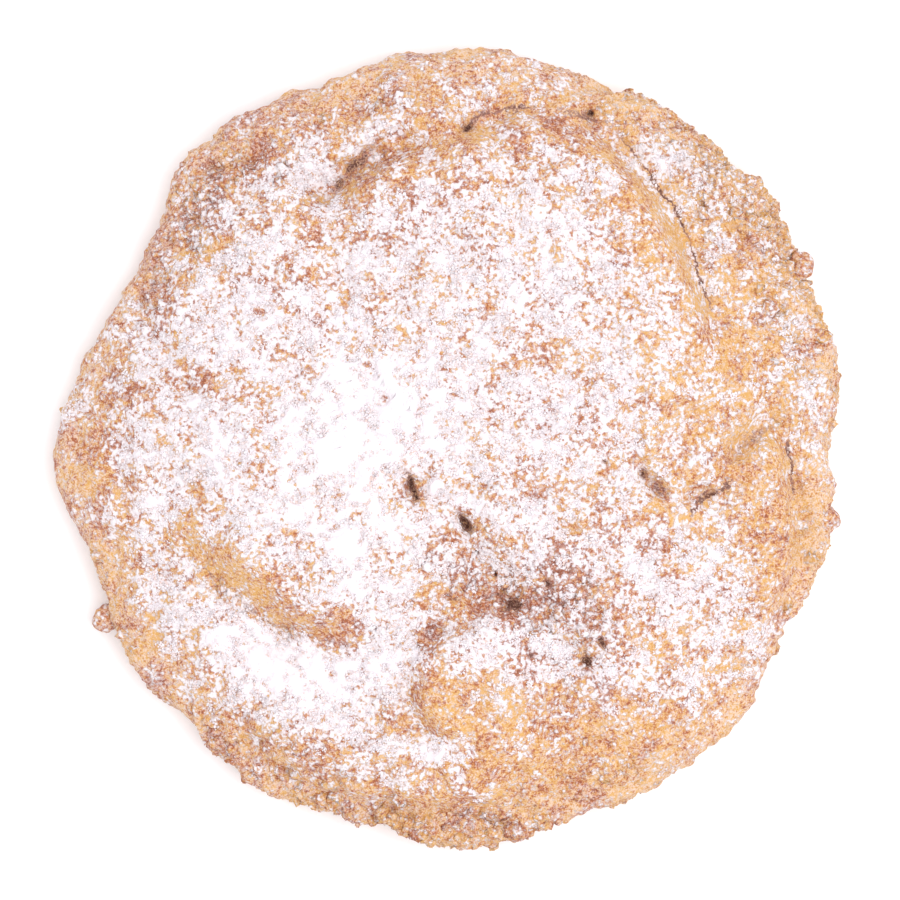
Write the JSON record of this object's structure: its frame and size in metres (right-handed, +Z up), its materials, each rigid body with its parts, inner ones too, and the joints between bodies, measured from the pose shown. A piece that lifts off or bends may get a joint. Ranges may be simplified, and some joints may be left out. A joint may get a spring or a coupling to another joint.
{
  "type": "sugar cookie",
  "caption": "Domed round sugar cookie with a cracked golden crust, dusted unevenly with icing sugar, flat underneath.",
  "frame": {"origin": "centre of the cookie's box at its flat underside", "axes": "+Z up through the top of the dome; +Y towards the upper edge of the picture, +X towards its right edge"},
  "size_m": [0.0787, 0.0804, 0.0166],
  "materials": {
    "crust": "matt baked dough, golden with browner crags",
    "icing_sugar": "matt white powder in clumps and drifts"
  },
  "bodies": {
    "root": {"cookie": "crust"}
  },
  "joints": []
}
